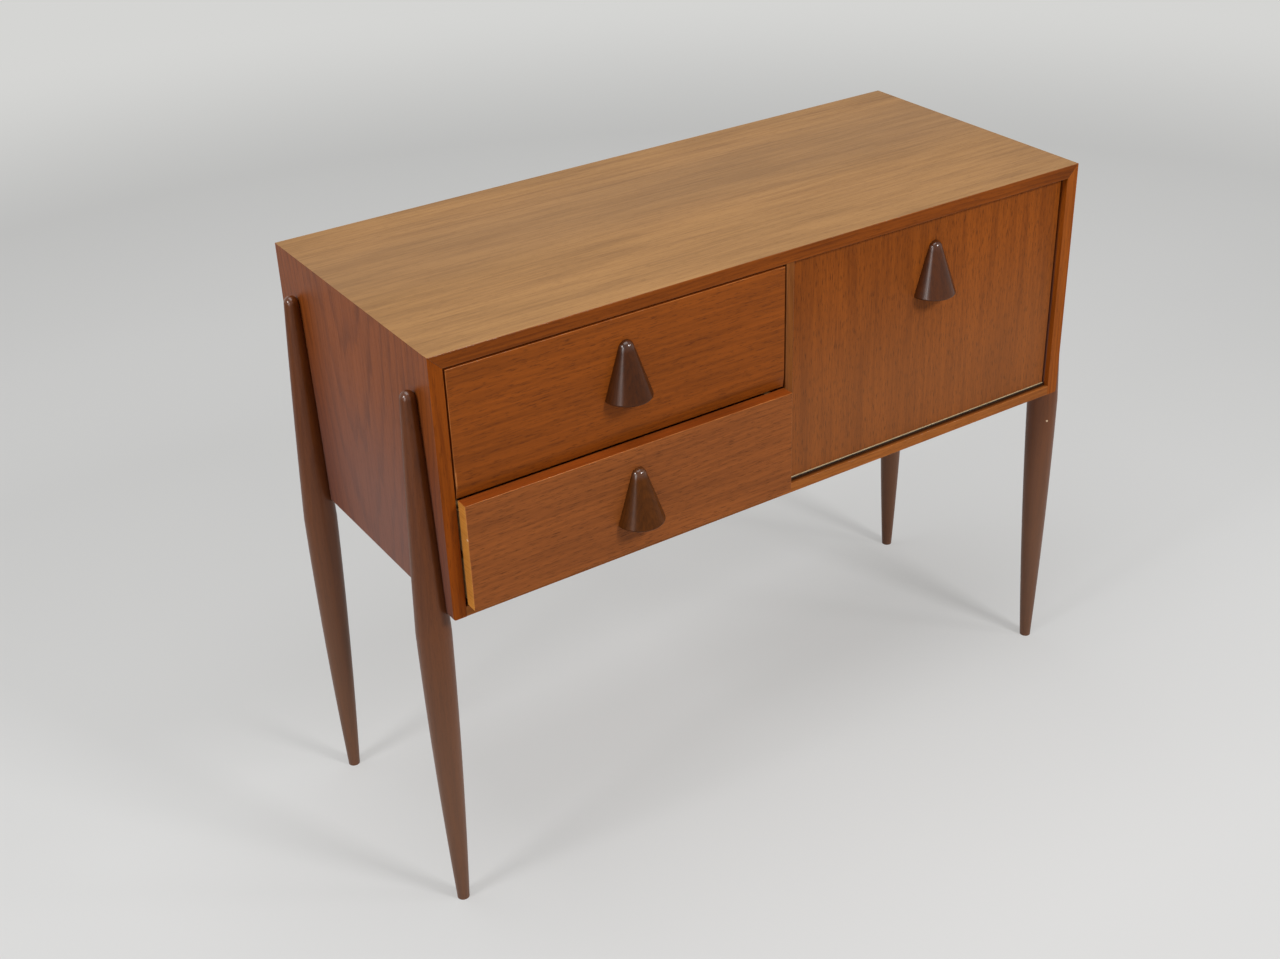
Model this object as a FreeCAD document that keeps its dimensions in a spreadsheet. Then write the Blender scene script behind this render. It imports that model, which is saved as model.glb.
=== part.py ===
"""A low teak chest on four turned legs: two side-hung drawers on the left, a drop flap on the right.

Millimetres, +X to the right, +Y to the back, +Z up. The origin is on the floor, under the middle of
the whole piece as it stands, with the lower drawer a little ajar.
"""
import FreeCAD, Part
import Sketcher
import math
import os
import re

from FreeCAD import Placement, Rotation, Vector

doc = FreeCAD.newDocument("chest")

# Driving sizes
SIZES = {
    # Carcass boards
    "carcass_width": "1000",
    "carcass_depth": "420",
    "carcass_height": "350",
    "underside_height": "455",
    "panel_thickness": "18",
    "bottom_thickness": "14",
    "divider_thickness": "12",
    "divider_shift": "4",
    "back_thickness": "6",
    "back_rebate": "9",
    "lipping_depth": "8",
    "housing_depth": "4",
    # Corner tongues and bottom dowels
    "tongue_width": "12",
    "tongue_thickness": "3",
    "tongue_end": "12",
    "dowel_radius": "4",
    "dowel_length": "30",
    "dowel_in_side": "10",
    "dowel_end": "40",
    "dowel_count": "4",
    # Turned legs
    "leg_height": "752",
    "leg_foot_radius": "8",
    "leg_belly_radius": "22.3",
    "leg_belly_height": "425",
    "leg_tip_radius": "9.3",
    "leg_lower_bulge": "2.2",
    "leg_upper_bulge": "0.8",
    "leg_stand_off": "11.5",
    "leg_splay": "0.45",
    "front_leg_rake": "1.1",
    "front_leg_inset": "36",
    "rear_leg_inset": "52",
    "leg_foot_trim": "2",
    "leg_screw_low": "60",
    "leg_screw_high": "262",
    # Drawers
    "front_thickness": "18",
    "front_gap": "2.6",
    "drawer_gap": "1",
    "lower_front_height": "144.9",
    "lower_ajar": "18",
    "bevel_height": "15",
    "bevel_depth": "2.5",
    "drawer_length": "385",
    "wall_thickness": "12",
    "wall_inset": "1",
    "wall_foot": "6",
    "wall_drop": "16",
    "wall_housing": "6",
    "tray_thickness": "5",
    "tray_groove": "5",
    "tray_rise": "8",
    "runner_height": "11.4",
    "runner_bite": "5.5",
    "runner_play": "0.3",
    "groove_play": "0.5",
    # Half-cone handles
    "handle_base_radius": "32.5",
    "handle_tip_radius": "10.5",
    "handle_length": "75",
    "upper_handle_drop": "30.5",
    "lower_handle_drop": "28",
    "flap_handle_drop": "31.4",
    "flap_handle_shift": "5",
    "handle_screw_low": "14",
    "handle_screw_high": "46",
    # Flap and its piano hinge
    "flap_thickness": "18",
    "flap_recess": "9",
    "flap_opening": "90",
    "knuckle_radius": "2",
    "knuckle_count": "26",
    "knuckle_gap": "0.3",
    "hinge_play": "0.3",
    "pin_radius": "0.9",
    "pin_play": "0.1",
    "leaf_thickness": "1",
    "leaf_width": "16",
    "leaf_screw_count": "7",
    "leaf_screw_line": "9.6",
    # Flap stay
    "stay_reach": "200",
    "stay_lag": "30",
    "stay_stand_off": "9",
    "stay_inset": "13.5",
    "rod_radius": "2.5",
    "rod_play": "0.4",
    "eye_radius": "5.5",
    "eye_width": "6.4",
    "stud_radius": "2",
    "stud_play": "0.1",
    "stud_head_radius": "3.5",
    "stud_head_width": "1.5",
    "eye_gap": "0.4",
    "bracket_thickness": "2",
    "bracket_width": "20",
    "bracket_height": "44",
    "guide_radius": "8",
    "guide_gap": "0.5",
    "guide_wall": "1",
    "post_radius": "2.5",
    "post_plate_radius": "15",
    "post_screw_reach": "10.5",
    "knob_radius": "5",
    "knob_length": "8",
    # Magnetic catch
    "catch_width": "44",
    "catch_depth": "15",
    "catch_height": "13",
    "catch_play": "0.3",
    "keeper_width": "32",
    "keeper_height": "14",
    "keeper_thickness": "1.5",
    "catch_screw_apart": "28",
    "keeper_screw_apart": "18",
    "bracket_screw_apart": "28",
    # Screws
    "long_screw_length": "28",
    "long_screw_radius": "2",
    "long_head_radius": "4",
    "long_head_depth": "2.4",
    "short_screw_length": "9",
    "short_screw_radius": "1.2",
    "short_head_radius": "2.3",
    "short_head_depth": "0.9",
    "runner_screw_length": "18",
    "back_screw_end": "60",
    "back_screw_shift": "16",
    "handle_screw_grip": "10",
}

# Places worked out from the driving sizes
PLACES = {
    "front": "-(carcass_depth - lower_ajar - handle_base_radius) / 2",
    "rear": "front + carcass_depth",
    "half_width": "carcass_width / 2",
    "inner": "half_width - panel_thickness",
    "lipped": "front + lipping_depth",
    "back_face": "rear - back_thickness",
    "top": "underside_height + carcass_height",
    "ceiling": "top - panel_thickness",
    "bottom_face": "underside_height + bottom_thickness",
    "divider_left": "divider_shift - divider_thickness / 2",
    "divider_right": "divider_shift + divider_thickness / 2",
    "foot_x": "half_width + leg_stand_off + underside_height * tan(leg_splay)",
    "front_foot_y": "front + front_leg_inset - underside_height * tan(front_leg_rake)",
    "rear_foot_y": "rear - rear_leg_inset",
    "drawer_left": "-inner + front_gap",
    "drawer_right": "divider_left - front_gap",
    "drawer_middle": "(drawer_left + drawer_right) / 2",
    "lower_bottom": "bottom_face + front_gap",
    "lower_top": "lower_bottom + lower_front_height",
    "upper_bottom": "lower_top + drawer_gap",
    "upper_top": "ceiling - front_gap",
    "groove_depth": "runner_bite + groove_play",
    "groove_height": "runner_height + 2 * runner_play",
    "hinge_y": "front + flap_recess",
    "hinge_z": "bottom_face + knuckle_radius + hinge_play",
    "flap_bottom": "hinge_z + knuckle_radius + hinge_play",
    "flap_left": "divider_right + front_gap",
    "flap_right": "inner - front_gap",
    "flap_middle": "(flap_left + flap_right) / 2",
    "flap_handle_middle": "flap_middle + flap_handle_shift",
    "flap_back": "hinge_y + flap_thickness",
    "knuckle_pitch": "(flap_right - flap_left) / knuckle_count",
    "handle_dome": "handle_length - handle_tip_radius",
    "handle_slant": "sqrt(handle_base_radius ^ 2 + handle_dome ^ 2)",
    "handle_foot_angle": "atan(handle_dome / handle_base_radius)",
    "handle_lean": "(acos(handle_tip_radius / handle_slant) - handle_foot_angle) / 1deg",
    "handle_shoulder": "handle_tip_radius * cos(handle_lean)",
    "handle_shoulder_height": "handle_dome + handle_tip_radius * sin(handle_lean)",
    "leg_length": "leg_height + leg_foot_trim",
    "leg_belly_rise": "leg_belly_height + leg_foot_trim",
    "leg_shoulder_rise": "leg_length - leg_tip_radius",
    "stay_x": "inner - stay_inset",
    "stud_y": "flap_back + stay_stand_off",
    "stud_z": "hinge_z + sqrt(stay_reach ^ 2 - (flap_thickness + stay_stand_off) ^ 2)",
    "stud_lean": "asin((flap_thickness + stay_stand_off) / stay_reach) / 1deg",
    "guide_y": "hinge_y + stay_reach * sin(stud_lean + stay_lag)",
    "guide_z": "hinge_z + stay_reach * cos(stud_lean + stay_lag)",
    "rod_slope": "stud_lean + stay_lag / 2",
    "open_chord": "2 * stay_reach * sin((stay_lag + flap_opening) / 2)",
    "knob_start": "open_chord + guide_radius + rod_play",
    "rod_length": "knob_start + knob_length",
    "catch_front": "flap_back + keeper_thickness + catch_play",
    "guide_end": "inner - bracket_thickness - guide_gap",
    "post_socket": "stay_x + rod_radius + rod_play + guide_wall",
    "lug_face": "stay_x - eye_width / 2 - eye_gap",
    "runner_reach": "front_gap + wall_inset + runner_bite",
    "dowel_pitch": "(back_face - lipped - 2 * dowel_end) / (dowel_count - 1)",
    "back_screw_pitch": "(inner - back_screw_end) * 2 / 3",
}

sheet_of = {}


def qualified(formula):
    """Write each alias in a formula with the name of the sheet that holds it."""
    def named(word):
        return sheet_of.get(word.group(), "") + word.group()
    return re.sub(r"[a-z_]+", named, formula)


def fill_sheet(name, cells, as_formula):
    """Make a sheet with a name in column A and an aliased value in column B."""
    sheet = doc.addObject("Spreadsheet::Sheet", name)
    for row, (alias, text) in enumerate(cells.items(), start=1):
        sheet.set(f"A{row}", alias)
        sheet.set(f"B{row}", "=" + qualified(text) if as_formula else text)
        sheet.setAlias(f"B{row}", alias)
        sheet_of[alias] = name + "."
    doc.recompute()
    return sheet


sizes = fill_sheet("Sizes", SIZES, as_formula=False)
places = fill_sheet("Places", PLACES, as_formula=True)
nodes = []


def value(alias):
    """The number that a sheet holds under an alias."""
    sheet = sizes if alias in SIZES else places
    return float(getattr(sheet, alias))


def bind(thing, **formulas):
    """Tie properties of an object to formulas of the sheets' aliases."""
    for name, formula in formulas.items():
        thing.setExpression(name, qualified(formula))


def put(thing, x, y, z):
    """Tie an object's position to three formulas."""
    for axis, formula in zip("xyz", (x, y, z)):
        thing.setExpression("Placement.Base." + axis, qualified(formula))


def node(thing, label):
    """Keep an object as one of the chest's named pieces."""
    thing.Label = label
    nodes.append(thing)
    return thing


def box(name, x, y, z):
    """A block; x, y and z each give its low and high formulas."""
    block = doc.addObject("Part::Box", name)
    bind(
        block,
        Length=f"({x[1]}) - ({x[0]})",
        Width=f"({y[1]}) - ({y[0]})",
        Height=f"({z[1]}) - ({z[0]})",
    )
    put(block, x[0], y[0], z[0])
    return block


def bar(name, direction, start, radius, length):
    """A round bar from a start point along a direction."""
    cylinder = doc.addObject("Part::Cylinder", name)
    cylinder.Placement = Placement(Vector(), Rotation(Vector(0, 0, 1), Vector(*direction)))
    bind(cylinder, Radius=radius, Height=length)
    put(cylinder, *start)
    return cylinder


def cut(name, base, *tools):
    """A piece with the shapes of other pieces taken out of it, one after another."""
    for count, tool in enumerate(tools, start=1):
        result = doc.addObject("Part::Cut", f"{name}_cut{count}")
        result.Base = base
        result.Tool = tool
        base = result
    return base


def fuse(name, *pieces):
    """One solid of several that meet."""
    result = doc.addObject("Part::MultiFuse", name)
    result.Shapes = list(pieces)
    return result


def group(name, pieces):
    """Like pieces that stay separate solids."""
    result = doc.addObject("Part::Compound", name)
    result.Links = list(pieces)
    return result


def screw(name, direction, start, size, length):
    """A countersunk screw whose head is flush with the surface that it starts at."""
    head = doc.addObject("Part::Cone", name + "_head")
    head.Placement = Placement(Vector(), Rotation(Vector(0, 0, 1), Vector(*direction)))
    bind(
        head,
        Radius1=f"{size}_head_radius", Radius2=f"{size}_screw_radius", Height=f"{size}_head_depth",
    )
    put(head, *start)
    shank = bar(name + "_shank", direction, start, f"{size}_screw_radius", length)
    return fuse(name, head, shank)


def origin_plane(body, role):
    """One of a body's own origin planes."""
    return next(plane for plane in body.Origin.OriginFeatures if plane.Role == role)


def profile(body, name, role, edges, constraints):
    """A closed sketch of joined edges; constraints lists (kind, elements, label, formula).

    An edge's point 1 is its start and 2 its end; -1 and -2 are the sketch's own axes, and point 1 of -1
    is its origin.
    """
    sketch = body.newObject("Sketcher::SketchObject", name)
    sketch.AttachmentSupport = (origin_plane(body, role), [""])
    sketch.MapMode = "FlatFace"
    for edge in edges:
        sketch.addGeometry(edge)
    for index in range(len(edges)):
        following = (index + 1) % len(edges)
        sketch.addConstraint(Sketcher.Constraint("Coincident", index, 2, following, 1))
    for kind, elements, label, formula in constraints:
        number = sketch.addConstraint(Sketcher.Constraint(kind, *elements))
        if label:
            sketch.renameConstraint(number, label)
            sketch.setExpression("Constraints." + label, qualified(formula))
    return sketch


def across(edge, label, formula, size):
    """The distance in X from the sketch's origin to the end of an edge."""
    return ("DistanceX", (-1, 1, edge, 2, size), label, formula)


def up(edge, label, formula, size):
    """The distance in Y from the sketch's origin to the end of an edge."""
    return ("DistanceY", (-1, 1, edge, 2, size), label, formula)


def round_off(edge, label, formula, size):
    """The radius of an arc."""
    return ("Radius", (edge, size), label, formula)


def bowed_arc(start, end, bulge):
    """An arc between two points, bowed out to the right of its chord."""
    chord = end - start
    aside = Vector(chord.y, -chord.x, 0).normalize()
    return Part.Arc(start, (start + end) / 2 + aside * bulge, end)


def bow_radius(start, end, bulge):
    """The radius of such an arc."""
    return start.distanceToPoint(end) ** 2 / (8 * bulge) + bulge / 2


def bow_formula(chord_square, bulge):
    """The same radius as a formula, from the square of the chord."""
    return f"({chord_square}) / (8 * {bulge}) + {bulge} / 2"


# Carcass boards

def mitred_top(name, low_y, high_y):
    """A length of the top, its ends cut at 45 degrees."""
    board = doc.addObject("Part::Wedge", name)
    board.Placement = Placement(Vector(), Rotation(Vector(1, 0, 0), 90))
    bind(
        board,
        Xmin="-inner", Xmax="inner", X2min="-half_width", X2max="half_width",
        Ymin="ceiling", Ymax="top",
        Zmin=f"-({high_y})", Zmax=f"-({low_y})", Z2min=f"-({high_y})", Z2max=f"-({low_y})",
    )
    return board


def mitred_side(name, outer, inner, low_y, high_y):
    """A length of one side, its upper end cut at 45 degrees; outer and inner are its faces in X."""
    board = doc.addObject("Part::Wedge", name)
    board.Placement = Placement(Vector(), Rotation(Vector(0, 0, 1), -90))
    left = outer.startswith("-")
    first, second = (outer, inner) if left else (inner, outer)
    tall, short = ("Zmax", "Z2max") if left else ("Z2max", "Zmax")
    bind(
        board,
        Ymin=first, Ymax=second, Zmin="underside_height", Z2min="underside_height",
        Xmin=f"-({high_y})", Xmax=f"-({low_y})", X2min=f"-({high_y})", X2max=f"-({low_y})",
        **{tall: "top", short: "ceiling"},
    )
    return board


def tongue(name, corner, start_x, start_z, angle):
    """The loose tongue in one mitred corner, square to the mitre."""
    strip = doc.addObject("Part::Box", name)
    strip.Placement = Placement(Vector(), Rotation(Vector(0, 1, 0), angle))
    bind(
        strip,
        Length="tongue_width",
        Width="back_face - lipped - 2 * tongue_end",
        Height="tongue_thickness",
    )
    middle_z = "top - panel_thickness / 2"
    put(strip, f"{corner} + ({start_x})", "lipped + tongue_end", f"{middle_z} + ({start_z})")
    return node(strip, name)


def bottom_dowels():
    """A row of dowels at each end of the bottom, partly in the side and partly in the bottom."""
    dowels = []
    middle_z = "underside_height + bottom_thickness / 2"
    for side, direction in (("-", 1), ("", -1)):
        start_x = f"{side}(inner + dowel_in_side)"
        for place in range(int(value("dowel_count"))):
            start = (start_x, f"lipped + dowel_end + dowel_pitch * {place}", middle_z)
            name = f"dowel_{'left' if side else 'right'}_{place}"
            dowels.append(bar(name, (direction, 0, 0), start, "dowel_radius", "dowel_length"))
    return node(group("bottom_dowels", dowels), "bottom_dowels")


def back_screws():
    """Screws through the back into the rear edges of the sides, the top and the bottom."""
    length = "back_thickness + short_screw_length"
    spots = []
    for side in ("-", ""):
        for share in range(3):
            rise = f"back_screw_end + (carcass_height - 2 * back_screw_end) * {share} / 2"
            spots.append((f"{side}(inner + back_rebate / 2)", f"underside_height + {rise}"))
    for place in (-1, 0, 1):
        along = f"back_screw_pitch * {place} + back_screw_shift"
        spots.append((along, "ceiling + back_rebate / 2"))
        spots.append((along, "underside_height + bottom_thickness / 2"))
    screws = [
        screw(f"back_screw_{count}", (0, -1, 0), (x, "rear", z), "short", length)
        for count, (x, z) in enumerate(spots)
    ]
    return node(group("back_screws", screws), "back_screws")


# Legs

def leg_spindle(name):
    """The turned spindle of one leg: thin foot, belly under the carcass, thin domed tip."""
    body = doc.addObject("PartDesign::Body", name)
    foot = Vector(value("leg_foot_radius"), 0, 0)
    belly = Vector(value("leg_belly_radius"), value("leg_belly_rise"), 0)
    shoulder = Vector(value("leg_tip_radius"), value("leg_shoulder_rise"), 0)
    tip = Vector(0, value("leg_length"), 0)
    centre = Vector(0, value("leg_shoulder_rise"), 0)
    diagonal = Vector(math.sqrt(0.5), math.sqrt(0.5), 0)
    lower_bulge, upper_bulge = value("leg_lower_bulge"), value("leg_upper_bulge")
    edges = [
        Part.LineSegment(Vector(), foot),
        bowed_arc(foot, belly, lower_bulge),
        bowed_arc(belly, shoulder, upper_bulge),
        Part.Arc(shoulder, centre + diagonal * value("leg_tip_radius"), tip),
        Part.LineSegment(tip, Vector()),
    ]
    lower_chord = "(leg_belly_radius - leg_foot_radius) ^ 2 + leg_belly_rise ^ 2"
    upper_rise = "leg_shoulder_rise - leg_belly_rise"
    upper_chord = f"(leg_belly_radius - leg_tip_radius) ^ 2 + ({upper_rise}) ^ 2"
    lower_radius = bow_radius(foot, belly, lower_bulge)
    upper_radius = bow_radius(belly, shoulder, upper_bulge)
    constraints = [
        ("Coincident", (0, 1, -1, 1), None, None),
        ("Horizontal", (0,), None, None),
        ("Vertical", (4,), None, None),
        across(0, "foot", "leg_foot_radius", foot.x),
        across(1, "belly", "leg_belly_radius", belly.x),
        up(1, "belly_rise", "leg_belly_rise", belly.y),
        across(2, "shoulder", "leg_tip_radius", shoulder.x),
        up(2, "shoulder_rise", "leg_shoulder_rise", shoulder.y),
        up(3, "whole", "leg_length", tip.y),
        round_off(1, "lower_bow", bow_formula(lower_chord, "leg_lower_bulge"), lower_radius),
        round_off(2, "upper_bow", bow_formula(upper_chord, "leg_upper_bulge"), upper_radius),
        round_off(3, "dome", "leg_tip_radius", shoulder.x),
    ]
    sketch = profile(body, name + "_outline", "XZ_Plane", edges, constraints)
    turning = body.newObject("PartDesign::Revolution", name + "_turning")
    turning.Profile = sketch
    turning.ReferenceAxis = (sketch, ["V_Axis"])
    turning.Angle = 360
    return body


def leg(name, side, foot_y, rake, notch, floor, screws):
    """One leg, leaning in to the side and notched to sit flat on its face and under its edge."""
    body = leg_spindle(name + "_spindle")
    lean_in = math.tan(math.radians(value("leg_splay")))
    lean_back = math.tan(math.radians(value(rake))) if rake else 0
    axis = Vector(lean_in if side == "-" else -lean_in, lean_back, 1)
    body.Placement = Placement(Vector(), Rotation(Vector(0, 0, 1), axis))
    put(body, f"{side}foot_x", foot_y, "-leg_foot_trim")
    return node(cut(name, body, notch, floor, screws), name)


def leg_screws():
    """Two screws into each leg from inside the carcass."""
    screws = []
    for side, direction in (("-", -1), ("", 1)):
        for foot_y, slope in (("front_foot_y", "tan(front_leg_rake)"), ("rear_foot_y", "0")):
            for rise in ("leg_screw_low", "leg_screw_high"):
                height = f"underside_height + {rise}"
                start = (f"{side}inner", f"{foot_y} + ({height}) * {slope}", height)
                name = f"leg_screw_{len(screws)}"
                screws.append(screw(name, (direction, 0, 0), start, "long", "long_screw_length"))
    return node(group("leg_screws", screws), "leg_screws")


# Drawer runners

def runner_middle(name):
    """The height of a drawer's runners, at the middle of its walls."""
    return f"({name}_bottom + wall_foot + {name}_top - wall_drop) / 2"


def runners():
    """A hardwood strip each side of each drawer, and the screws of all four."""
    strips, screws = {}, []
    for name in ("upper", "lower"):
        middle = runner_middle(name)
        height = (f"{middle} - runner_height / 2", f"{middle} + runner_height / 2")
        length = ("front + front_thickness + runner_play", "front + drawer_length")
        spans = {
            "left": ("-inner", "-inner + runner_reach", -1),
            "right": ("divider_left - runner_reach", "divider_left", 1),
        }
        for side, (low, high, direction) in spans.items():
            label = f"{name}_{side}_runner"
            strips[label] = box(label + "_strip", (low, high), length, height)
            face = high if side == "left" else low
            for share in (1, 2, 3):
                start = (face, f"front + drawer_length * {share} / 4", middle)
                fixing = f"{label}_screw_{share}"
                screws.append(screw(fixing, (direction, 0, 0), start, "short", "runner_screw_length"))
    together = node(group("runner_screws", screws), "runner_screws")
    for label, strip in strips.items():
        node(cut(label, strip, together), label)
    return together


# Handles

def handle(name, middle, face_y, base_z, screws):
    """A half cone with a domed tip, standing on its wide end, flat against the front."""
    body = doc.addObject("PartDesign::Body", name + "_turning")
    base = Vector(value("handle_base_radius"), 0, 0)
    shoulder = Vector(value("handle_shoulder"), value("handle_shoulder_height"), 0)
    tip = Vector(0, value("handle_length"), 0)
    tip_radius = value("handle_tip_radius")
    centre = tip - Vector(0, tip_radius, 0)
    halfway = ((shoulder - centre) + (tip - centre)).normalize()
    edges = [
        Part.LineSegment(Vector(), base),
        Part.LineSegment(base, shoulder),
        Part.Arc(shoulder, centre + halfway * tip_radius, tip),
        Part.LineSegment(tip, Vector()),
    ]
    constraints = [
        ("Coincident", (0, 1, -1, 1), None, None),
        ("Horizontal", (0,), None, None),
        ("Vertical", (3,), None, None),
        across(0, "base", "handle_base_radius", base.x),
        across(1, "shoulder", "handle_shoulder", shoulder.x),
        up(1, "shoulder_height", "handle_shoulder_height", shoulder.y),
        up(2, "whole", "handle_length", tip.y),
        round_off(2, "dome", "handle_tip_radius", tip_radius),
    ]
    sketch = profile(body, name + "_outline", "XZ_Plane", edges, constraints)
    half_turn = body.newObject("PartDesign::Revolution", name + "_half_turn")
    half_turn.Profile = sketch
    half_turn.ReferenceAxis = (sketch, ["V_Axis"])
    half_turn.Angle = 180
    half_turn.Reversed = True
    put(body, middle, face_y, base_z)
    return node(cut(name, body, screws), name)


def handle_screws(name, middle, face_y, thickness, base_z):
    """Two screws through a front from its back into the handle."""
    screws = []
    for rise in ("handle_screw_low", "handle_screw_high"):
        start = (middle, f"{face_y} + {thickness}", f"{base_z} + {rise}")
        length = f"{thickness} + handle_screw_grip"
        screws.append(screw(f"{name}_{rise}", (0, -1, 0), start, "long", length))
    return node(group(name, screws), name)


# Drawers

def plain_front(name, face_y):
    """A drawer front with square edges."""
    depth = (face_y, f"{face_y} + front_thickness")
    return box(name, ("drawer_left", "drawer_right"), depth, ("lower_bottom", "lower_top"))


def bevelled_front(name, face_y):
    """A drawer front whose face is bevelled back along its lower edge."""
    body = doc.addObject("PartDesign::Body", name)
    thickness = value("front_thickness")
    height = value("upper_top") - value("upper_bottom")
    corners = [
        Vector(thickness, 0, 0),
        Vector(thickness, height, 0),
        Vector(0, height, 0),
        Vector(0, value("bevel_height"), 0),
        Vector(value("bevel_depth"), 0, 0),
    ]
    following = corners[1:] + corners[:1]
    edges = [Part.LineSegment(first, second) for first, second in zip(corners, following)]
    constraints = [
        ("Vertical", (0,), None, None),
        ("Horizontal", (1,), None, None),
        ("Vertical", (2,), None, None),
        ("Horizontal", (4,), None, None),
        ("PointOnObject", (2, 2, -2), None, None),
        ("PointOnObject", (3, 2, -1), None, None),
        across(0, "thickness", "front_thickness", thickness),
        up(0, "height", "upper_top - upper_bottom", height),
        up(2, "bevel_height", "bevel_height", value("bevel_height")),
        across(3, "bevel_depth", "bevel_depth", value("bevel_depth")),
    ]
    sketch = profile(body, name + "_section", "YZ_Plane", edges, constraints)
    board = body.newObject("PartDesign::Pad", name + "_board")
    board.Profile = sketch
    bind(board, Length="drawer_right - drawer_left")
    put(body, "drawer_left", face_y, "upper_bottom")
    return body


def drawer(name, face_y, make_front):
    """A drawer: front, two grooved walls housed in it, a back wall and a tray bottom."""
    low, high = f"{name}_bottom + wall_foot", f"{name}_top - wall_drop"
    tray_low = f"{low} + tray_rise"
    tray_high = f"{tray_low} + tray_thickness"
    inside_left = "drawer_left + wall_inset + wall_thickness"
    inside_right = "drawer_right - wall_inset - wall_thickness"
    back_end = f"{face_y} + drawer_length"
    front_back = f"{face_y} + front_thickness"
    middle = runner_middle(name)
    tray = box(
        name + "_tray_board",
        (f"{inside_left} - tray_groove", f"{inside_right} + tray_groove"),
        (f"{front_back} - tray_groove", back_end),
        (tray_low, tray_high),
    )
    node(tray, name + "_tray")
    wall_depth = (f"{front_back} - wall_housing", back_end)
    walls = {
        "left": ("drawer_left + wall_inset", inside_left),
        "right": (inside_right, "drawer_right - wall_inset"),
    }
    boards = []
    for side, span in walls.items():
        board = box(f"{name}_{side}_board", span, wall_depth, (low, high))
        boards.append(board)
        groove_span = (span[0], f"{span[0]} + groove_depth")
        if side == "right":
            groove_span = (f"{span[1]} - groove_depth", span[1])
        groove = box(
            f"{name}_{side}_groove",
            groove_span,
            (front_back, f"{back_end} + groove_depth"),
            (f"{middle} - groove_height / 2", f"{middle} + groove_height / 2"),
        )
        label = f"{name}_{side}_wall"
        node(cut(label, board, groove, tray), label)
    back = box(
        name + "_back_board",
        (inside_left, inside_right),
        (f"{back_end} - wall_thickness", back_end),
        (tray_high, high),
    )
    node(back, name + "_back_wall")
    base_z = f"{name}_top - {name}_handle_drop - handle_length"
    screws = handle_screws(name + "_handle_screws", "drawer_middle", face_y, "front_thickness", base_z)
    front = make_front(name + "_front_board", face_y)
    node(cut(name + "_front", front, *boards, tray, screws), name + "_front")
    handle(name + "_handle", "drawer_middle", face_y, base_z, screws)


# Flap hinge

def hinge_leaf(name, first_gap, plate_z, screws):
    """A leaf of the piano hinge: a plate with a row of knuckles, every other one left out."""
    count = int(value("knuckle_count"))
    length = "flap_right - flap_left"
    plate_y = ("hinge_y", "hinge_y + leaf_width")
    plate = box(name + "_plate", ("flap_left", "flap_right"), plate_y, plate_z)
    axis_start = ("flap_left", "hinge_y", "hinge_z")
    tube = bar(name + "_tube", (1, 0, 0), axis_start, "knuckle_radius", length)
    bore = bar(name + "_bore", (1, 0, 0), axis_start, "pin_radius + pin_play", length)
    reach = "knuckle_radius + hinge_play"
    gaps = [
        box(
            f"{name}_gap_{place}",
            (
                f"flap_left + knuckle_pitch * {place} - knuckle_gap / 2",
                f"flap_left + knuckle_pitch * {place + 1} + knuckle_gap / 2",
            ),
            (f"hinge_y - ({reach})", f"hinge_y + {reach}"),
            (f"hinge_z - ({reach})", f"hinge_z + {reach}"),
        )
        for place in range(first_gap, count, 2)
    ]
    whole = fuse(name + "_whole", plate, tube)
    return node(cut(name, whole, bore, group(name + "_gaps", gaps), screws), name)


def leaf_screws(name, start_z, direction):
    """A row of screws through a hinge leaf."""
    count = int(value("leaf_screw_count"))
    screws = []
    for place in range(count):
        start_x = f"flap_left + (flap_right - flap_left) * (2 * {place} + 1) / (2 * leaf_screw_count)"
        start = (start_x, "hinge_y + leaf_screw_line", start_z)
        fixing = f"{name}_{place}"
        screws.append(screw(fixing, (0, 0, direction), start, "short", "short_screw_length"))
    return node(group(name, screws), name)


# Flap stay

def along_rod(name, start, radius, length):
    """A round bar along the stay rod's line, from a distance behind the stud."""
    piece = doc.addObject("Part::Cylinder", name)
    piece.Placement = Placement(Vector(), Rotation(Vector(-1, 0, 0), 90))
    piece.setExpression("Placement.Rotation.Angle", qualified("90 + rod_slope"))
    bind(piece, Radius=radius, Height=length)
    start_y = f"stud_y + ({start}) * cos(rod_slope)"
    start_z = f"stud_z - ({start}) * sin(rod_slope)"
    put(piece, "stay_x", start_y, start_z)
    return piece


def pair_of_screws(name, direction, centre, apart, apart_axis, length):
    """Two short screws, set apart along X or Z."""
    screws = []
    for sign in ("-", "+"):
        start = list(centre)
        start["xyz".index(apart_axis)] += f" {sign} {apart} / 2"
        end = "low" if sign == "-" else "high"
        screws.append(screw(f"{name}_{end}", direction, start, "short", length))
    return node(group(name, screws), name)


# Assembly of the carcass

carcass_back = box(
    "back_board",
    ("-inner - back_rebate", "inner + back_rebate"),
    ("back_face", "rear"),
    ("underside_height", "ceiling + back_rebate"),
)
fixings_back = back_screws()
node(cut("back_panel", carcass_back, fixings_back), "back_panel")

across_tongue = "(tongue_width - tongue_thickness) / 2 / sqrt(2)"
along_tongue = "(tongue_width + tongue_thickness) / 2 / sqrt(2)"
left_tongue = tongue(
    "left_corner_tongue", "-half_width + panel_thickness / 2", f"-{across_tongue}", f"-{along_tongue}", -45
)
right_tongue = tongue(
    "right_corner_tongue", "half_width - panel_thickness / 2", f"-{along_tongue}", across_tongue, 45
)
dowels = bottom_dowels()
fixings_leg = leg_screws()
fixings_runner = runners()
fixings_hinge = leaf_screws("hinge_carcass_screws", "bottom_face + leaf_thickness", -1)
catch_centre = ("flap_middle", "catch_front + catch_depth / 2", "ceiling - catch_height")
catch_grip = "catch_height + short_screw_length"
fixings_catch = pair_of_screws(
    "catch_screws", (0, 0, 1), catch_centre, "catch_screw_apart", "x", catch_grip
)
post_face = ("inner - bracket_thickness", "guide_y", "guide_z")
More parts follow.
